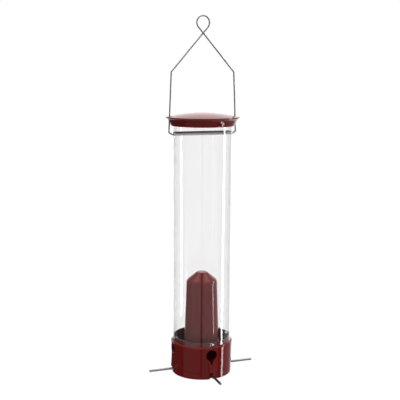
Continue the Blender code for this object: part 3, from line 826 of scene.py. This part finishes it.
drill(cover, COVER_DRAIN_R, *drain_ends, 24, [45.0 * n for n in range(8)])
hand_over(smooth(cover), maroon_cover, "feeder", "maroon_plastic", "base_cover")

# %% [markdown]
# ## The column
# The hollow column spreads the seed towards the ports. It tapers as it rises and closes in a low cone.

# %% Column
FOOT, COLUMN_DRAIN_R, COLUMN_DRAIN_REACH = SEED_FLOOR + 0.3 * MM, 2.0 * MM, 16 * MM
FOOT_R, TOP_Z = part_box("baffle_column")[1].x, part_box("baffle_column")[1].z
column = spin_section("seed_column", rounded([
    (SCREW_HOLE_R, FOOT, 0),
    (FOOT_R, FOOT, 0.5 * MM),
    (30.0 * MM, 180.4 * MM, 1.6 * MM),
    (27.8 * MM, 184.3 * MM, 1.6 * MM),
    (10.6 * MM, TOP_Z - 0.6 * MM, 1.2 * MM),
    (9.0 * MM, TOP_Z, 0.6 * MM),
    (0, TOP_Z, 0),
    (0, TOP_Z - 2 * MM, 0),
    (7.9 * MM, TOP_Z - 2 * MM, 0),
    (26.0 * MM, 181.0 * MM, 0),
    (FOOT_R - 2 * MM, FOOT + 3 * MM, 0),
    (SCREW_HOLE_R, FOOT + 3 * MM, 0),
]), 160)
drain_ends = (COLUMN_DRAIN_REACH, 0, FOOT - 1 * MM), (COLUMN_DRAIN_REACH, 0, FOOT + 4 * MM)
drill(column, COLUMN_DRAIN_R, *drain_ends, 24, (0.0, 120.0, 240.0))
hand_over(smooth(column), maroon_column, "feeder", "maroon_plastic", "baffle_column")

# %% [markdown]
# ## Bent wire
# The bail, the perches and the springs are wire. A wire is a line of points with a round section, so
# it is drawn as a curve, its corners rounded as a bending jig would, and then made into a mesh. Its
# cut ends are flat with the burr taken off.

# %% Bending wire
BEND_STEPS = 8


def bent(corners, bend_radius):
    """Straight runs between corners, with each inner corner rounded."""
    path = [Vector(corners[0])]
    for before, corner, after in zip(corners, corners[1:], corners[2:]):
        corner = Vector(corner)
        back = (Vector(before) - corner).normalized()
        ahead = (Vector(after) - corner).normalized()
        half = back.angle(ahead) / 2
        centre = corner + (back + ahead).normalized() * bend_radius / math.sin(half)
        first = (corner + back * bend_radius / math.tan(half) - centre).normalized()
        last = (corner + ahead * bend_radius / math.tan(half) - centre).normalized()
        for step in range(BEND_STEPS + 1):
            path.append(centre + first.slerp(last, step / BEND_STEPS) * bend_radius)
    path.append(Vector(corners[-1]))
    return path


def chamfer_ends(piece, ends, radius, burr):
    """Bevels the rims of the flat faces at a wire's ends."""
    pick(piece)
    bpy.ops.object.mode_set(mode="EDIT")
    bpy.ops.mesh.select_mode(type="FACE")
    bpy.ops.mesh.select_all(action="DESELECT")
    bpy.ops.object.mode_set(mode="OBJECT")
    for face in piece.data.polygons:
        face.select = any((face.center - end).length < 0.05 * radius for end in ends)
    bpy.ops.object.mode_set(mode="EDIT")
    bpy.ops.mesh.bevel(offset=burr, segments=2, affect="EDGES")
    bpy.ops.object.mode_set(mode="OBJECT")


def draw_wire(name, path, radius, section, burr):
    """A wire along a path, as a closed mesh with its two ends chamfered."""
    bpy.ops.object.select_all(action="DESELECT")
    bpy.ops.curve.primitive_nurbs_path_add(location=(0, 0, 0))
    line = bpy.context.object
    curve = line.data
    curve.splines.clear()
    curve.bevel_depth, curve.bevel_resolution, curve.use_fill_caps = radius, section, True
    spline = curve.splines.new("POLY")
    spline.points.add(len(path) - 1)
    for point, spot in zip(spline.points, path):
        point.co = (*spot, 1)
    pick(line)
    bpy.ops.object.convert(target="MESH")
    piece = bpy.context.object
    piece.name = piece.data.name = name
    bpy.ops.object.mode_set(mode="EDIT")
    bpy.ops.mesh.select_all(action="SELECT")
    bpy.ops.mesh.remove_doubles(threshold=1e-7)
    bpy.ops.mesh.normals_make_consistent(inside=False)
    bpy.ops.object.mode_set(mode="OBJECT")
    if burr:
        chamfer_ends(piece, (path[0], path[-1]), radius, burr)
    return piece


print("wire tools ready")

# %% [markdown]
# ## The bail
# One wire makes the whole hanger. Both ends sit in the spreader tube. Each leg turns out of the
# spreader's end, goes up through the lid, turns in at the shoulder and crosses the other leg under a
# round loop. The two strands pass beside each other where they cross.

# %% Bail
WIRE_R, FOOT_TURN, SHOULDER = 1.4 * MM, (66.9 * MM, 471.0 * MM), (62.2 * MM, 583.0 * MM)
CROSSING_Z, LOOP_R, LOOP_STEPS, BESIDE = 654.0 * MM, 12.85 * MM, 48, 1.75 * MM
BAIL_END_Z = SPREADER_Z - 1.5 * MM
leg = bent([
    (43.0 * MM, 0, BAIL_END_Z),
    (60.4 * MM, 0, BAIL_END_Z),
    (FOOT_TURN[0], 0, FOOT_TURN[1]),
    (SHOULDER[0], 0, SHOULDER[1]),
    (0, 0, CROSSING_Z),
], 2.2 * MM)[:-1]
lean = math.atan2(SHOULDER[0], CROSSING_Z - SHOULDER[1])
loop_centre = CROSSING_Z + LOOP_R / math.sin(lean)
loop = []
for step in range(LOOP_STEPS + 1):
    turn = math.pi + lean - (math.pi + 2 * lean) * step / LOOP_STEPS
    across = BESIDE * (2 * step / LOOP_STEPS - 1)
    loop.append(Vector((LOOP_R * math.cos(turn), across, loop_centre + LOOP_R * math.sin(turn))))
right_leg = [*leg, Vector((0, -BESIDE, CROSSING_Z))]
left_leg = [Vector((-spot.x, 0, spot.z)) for spot in leg] + [Vector((0, BESIDE, CROSSING_Z))]
bail = draw_wire("bail_wire", right_leg + loop + left_leg[::-1], WIRE_R, 6, 0.2 * MM)
hand_over(smooth(bail, 50), wire_steel, "feeder", "steel_wire", "hanger_wire")

# %% [markdown]
# The spreader is a piece of steel tube that crosses the top of the seed tube through both walls. The
# bail's ends sit inside it, so they stay in line and the legs can't pull out.

# %% Spreader
SPREADER_HALF, SPREADER_BORE_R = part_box("spreader_tube")[1].x, 3.2 * MM
spreader = spin_section("spreader_bar", rounded([
    (SPREADER_BORE_R, -SPREADER_HALF, 0.2 * MM),
    (SPREADER_R, -SPREADER_HALF, 0.4 * MM),
    (SPREADER_R, SPREADER_HALF, 0.4 * MM),
    (SPREADER_BORE_R, SPREADER_HALF, 0.2 * MM),
], 3), 48)
lay(spreader, (0, QUARTER_TURN, 0), (0, 0, SPREADER_Z))
hand_over(smooth(spreader), spreader_steel, "feeder", "steel_wire", "spreader_tube")

# %% [markdown]
# ## The perches
# Each perch is one bent rod with an eye at its inner end. The eye sits on a pin between two lugs. The
# rod goes down from the pin, turns and runs straight out under the hood. It is modelled once, on the
# right, and copied round the base.

# %% Perches
ELBOW, TIP = Vector((53.5 * MM, 0, 9.0 * MM)), (106.5 * MM, 0, 9.0 * MM)
PERCH_R, EYE_R = 2.4 * MM, 4.4 * MM
inside_eye = PIVOT + (ELBOW - PIVOT).normalized() * 2 * MM
perch = draw_wire("perch", bent([inside_eye, ELBOW, TIP], 4.0 * MM), PERCH_R, 6, 0.35 * MM)
eye = spin_section("eye", rounded([
    (0, -PERCH_R, 0), (EYE_R, -PERCH_R, 0.5 * MM), (EYE_R, PERCH_R, 0.5 * MM), (0, PERCH_R, 0),
]), 32)
shape_with(perch, lay(eye, (QUARTER_TURN, 0, 0), PIVOT), "UNION")
across = Vector((0, 4 * MM, 0))
shape_with(perch, bar(PIN_BORE_R, PIVOT - across, PIVOT + across, 32), "DIFFERENCE")
smooth(perch, 50)
for side, degrees in SIDES.items():
    copy = copy_turned(perch, f"perch_wire_{side}", degrees)
    hand_over(copy, perch_steel, f"perch_{side}", "steel_wire", f"perch_{side}")
bpy.data.objects.remove(perch, do_unlink=True)

# %% [markdown]
# A pin is a short rod with a flat head, and a spring is a coil of thin wire round it. One end of the
# spring bears under the seed floor and the other behind the rod, and that pushes the perch up again.
# Both are made once, on the right.

# %% Pins
PIN_R, PIN_HEAD_R, HEAD = 1.1 * MM, 1.9 * MM, 0.8 * MM
pin_start, pin_end = LUGS[0][0] - 0.3 * MM, LUGS[1][1] + 0.5 * MM
pin = spin_section("pin", rounded([
    (0, pin_start - HEAD, 0),
    (PIN_HEAD_R, pin_start - HEAD, 0.35 * MM),
    (PIN_HEAD_R, pin_start, 0.1 * MM),
    (PIN_R, pin_start, 0),
    (PIN_R, pin_end, 0.3 * MM),
    (0, pin_end, 0),
], 3), 32)
smooth(lay(pin, (-QUARTER_TURN, 0, 0), PIVOT))
print("pin made")

# %% [markdown]
# The spring's path is its hook, then the coil beside the eye, then its straight tail. Each point is
# given from the pivot.

# %% Springs
SPRING_R, COIL_R, COIL_STEPS = 0.4 * MM, 2.7 * MM, 54
start_y, pitch = PERCH_R + 0.3 * MM + SPRING_R, 2 * SPRING_R + 0.15 * MM
first, sweep = math.radians(195), math.radians(645)
hook = Vector((-0.55 * MM, -0.8 * MM, -8.1 * MM))
coil = [hook, Vector((hook.x, start_y, hook.z))]
for step in range(COIL_STEPS + 1):
    angle = first - sweep * step / COIL_STEPS
    beside = start_y + pitch * sweep / math.tau * step / COIL_STEPS
    coil.append(Vector((COIL_R * math.cos(angle), beside, COIL_R * math.sin(angle))))
coil += [Vector((-3.6 * MM, coil[-1].y, -COIL_R)), Vector((-9.0 * MM, coil[-1].y, 5.7 * MM))]
spring = smooth(draw_wire("spring", [PIVOT + spot for spot in coil], SPRING_R, 3, 0), 60)
bodies = frame["record"]["behaviour"]["bodies"]
for side, degrees in SIDES.items():
    copy = copy_turned(pin, f"pivot_pin_{side}", degrees)
    hand_over(copy, bright_steel, "feeder", "bright_steel", f"perch_pin_{side}")
    copy = copy_turned(spring, f"return_spring_{side}", degrees)
    body = next(name for name, nodes in bodies.items() if f"perch_spring_{side}" in nodes)
    hand_over(copy, spring_steel, body, "spring_steel", f"perch_spring_{side}")
for master in (pin, spring):
    bpy.data.objects.remove(master, do_unlink=True)

# %% [markdown]
# ## Fasteners
# A screw is a domed head with a square drive and a shank with a thread. At this size the thread reads
# as fine ridges, so the section has a row of them.

# %% Screws
SHANK_R, THREAD_PITCH, THREAD_DEPTH = 1.5 * MM, 0.5 * MM, 0.28 * MM
HEAD_R, HEAD_HIGH, DRIVE_HALF = 3.75 * MM, 1.5 * MM, 1.25 * MM


def screw(name, length):
    """A screw along Z, with its head standing on the plane at 0."""
    thread, z = [], -0.9 * MM
    while z - THREAD_PITCH > -length + 0.6 * MM:
        thread += [(SHANK_R, z, 0), (SHANK_R - THREAD_DEPTH, z - THREAD_PITCH / 2, 0)]
        z -= THREAD_PITCH
    section = [
        *thread,
        (SHANK_R - 0.1 * MM, -length + 0.5 * MM, 0),
        (SHANK_R - 0.5 * MM, -length, 0.1 * MM),
        (0, -length, 0),
        (0, HEAD_HIGH, 0),
        (2.3 * MM, HEAD_HIGH, 0.8 * MM),
        (HEAD_R, 0.7 * MM, 0.5 * MM),
        (HEAD_R, 0, 0.2 * MM),
        (SHANK_R, 0, 0),
    ]
    made = spin_section(name, rounded(section, 5), 40)
    drive = block((-DRIVE_HALF, -DRIVE_HALF, 0.4 * MM), (DRIVE_HALF, DRIVE_HALF, 3 * MM))
    return shape_with(made, drive, "DIFFERENCE")


tube_screw = screw("tube_screw", 10.5 * MM)
smooth(lay(tube_screw, (0, QUARTER_TURN, 0), (TUBE_R + 0.3 * MM, 0, FASTENER_Z)))
print("tube screw has", len(tube_screw.data.polygons), "faces")

# %% [markdown]
# A nut is a six-sided block whose corners are turned off on both faces. A turned blank with sloping
# edges is crossed with the block, which leaves only what both of them hold.

# %% Nuts
NUT_SEAT, NUT_THICK, NUT_R = COLLAR_BORE_R - 0.3 * MM, 2.4 * MM, 3.0 * MM
nut = bar(NUT_R, (NUT_SEAT - NUT_THICK, 0, FASTENER_Z), (NUT_SEAT, 0, FASTENER_Z), 6)
blank = spin_section("corner_turning", rounded([
    (0, -NUT_THICK / 2, 0),
    (NUT_R * 0.9, -NUT_THICK / 2, 0),
    (NUT_R * 1.02, -NUT_THICK * 0.32, 0),
    (NUT_R * 1.02, NUT_THICK * 0.32, 0),
    (NUT_R * 0.9, NUT_THICK / 2, 0),
    (0, NUT_THICK / 2, 0),
]), 48)
lay(blank, (0, QUARTER_TURN, 0), (NUT_SEAT - NUT_THICK / 2, 0, FASTENER_Z))
shape_with(nut, blank, "INTERSECT")
nut_bore = (NUT_SEAT - 5 * MM, 0, FASTENER_Z), (NUT_SEAT + 2 * MM, 0, FASTENER_Z)
shape_with(nut, bar(SCREW_HOLE_R, *nut_bore, 32), "DIFFERENCE")
smooth(nut)
for side, degrees in SIDES.items():
    copy = copy_turned(tube_screw, f"ring_fastener_{side}", degrees)
    hand_over(copy, ring_steel, "feeder", "bright_steel", f"tube_screw_{side}")
    copy = copy_turned(nut, f"hex_nut_{side}", degrees)
    hand_over(copy, bright_steel, "feeder", "bright_steel", f"tube_nut_{side}")
for master in (tube_screw, nut):
    bpy.data.objects.remove(master, do_unlink=True)

# %% [markdown]
# Four longer screws come up through the cover, and one holds the column from below the seed floor.

# %% Cover and column screws
cover_screw = screw("cover_screw", 12 * MM)
smooth(lay(cover_screw, (math.pi, 0, 0), (BOSS_REACH, 0, 2.1 * MM)))
for number, degrees in enumerate(DIAGONALS, start=1):
    copy = copy_turned(cover_screw, f"dish_screw_{number}", degrees)
    hand_over(copy, bright_steel, "feeder", "bright_steel", f"cover_screw_{number}")
bpy.data.objects.remove(cover_screw, do_unlink=True)
column_screw = screw("column_screw", 8 * MM)
lay(column_screw, (math.pi, 0, 0), (0, 0, FLOOR_UNDER - 0.3 * MM))
hand_over(smooth(column_screw), bright_steel, "feeder", "bright_steel", "baffle_screw")
